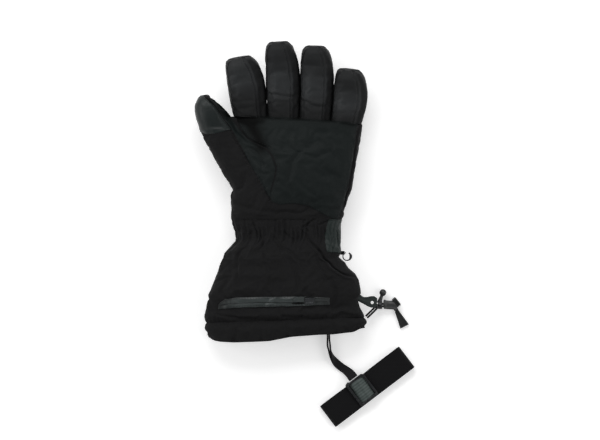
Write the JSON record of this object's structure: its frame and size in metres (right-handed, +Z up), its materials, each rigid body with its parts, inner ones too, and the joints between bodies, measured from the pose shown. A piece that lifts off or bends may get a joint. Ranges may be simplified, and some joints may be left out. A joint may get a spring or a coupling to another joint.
{
  "type": "heated glove",
  "caption": "Left-hand insulated heated glove with leather palm, shirred wrist, flared zip-pocket cuff, drawcord lock and wrist leash.",
  "frame": {"origin": "under the middle of the glove's own box, on the surface that it lies on, without the drawcord and the leash", "axes": "+Y to the fingertips, +X to the little finger's side, +Z up out of the palm"},
  "size_m": [0.2412, 0.427, 0.0503],
  "materials": {
    "softshell": "matt woven softshell",
    "leather_black": "fine-grained, satin",
    "leather_soft": "soft goatskin grain, satin",
    "coated": "coated cloth, satin",
    "plastic": "moulded, gloss",
    "webbing": "woven elastic and webbing, matt",
    "satin": "coated strap, satin sheen",
    "metal_black": "black, semi-gloss"
  },
  "bodies": {
    "root": {"cuff_hem": "softshell", "cuff": "softshell", "wrist_gathers": "softshell", "hand_shell": "softshell", "thumb": "softshell", "index_finger": "leather_soft", "middle_finger": "leather_soft", "ring_finger": "leather_soft", "little_finger": "leather_soft", "palm_patch": "leather_black", "index_palm_strip": "leather_soft", "middle_palm_strip": "leather_soft", "ring_palm_strip": "leather_soft", "little_palm_strip": "leather_soft", "thumb_tip_panel": "leather_soft", "wrist_side_patch": "coated", "zip_tape_upper": "coated", "zip_tape_lower": "coated", "zip_slider": "metal_black", "zip_puller": "plastic", "ring_tab": "softshell", "hook_ring": "plastic", "drawcord_tab": "coated", "drawcord_inner": "webbing", "drawcord_outer": "webbing", "drawcord_lock": "plastic", "drawcord_barrel": "plastic", "drawcord_cap": "plastic", "pull_tab": "plastic", "leash_strap": "webbing", "leash_buckle": "plastic", "leash_sleeve": "satin", "leash_band": "webbing"}
  },
  "joints": []
}
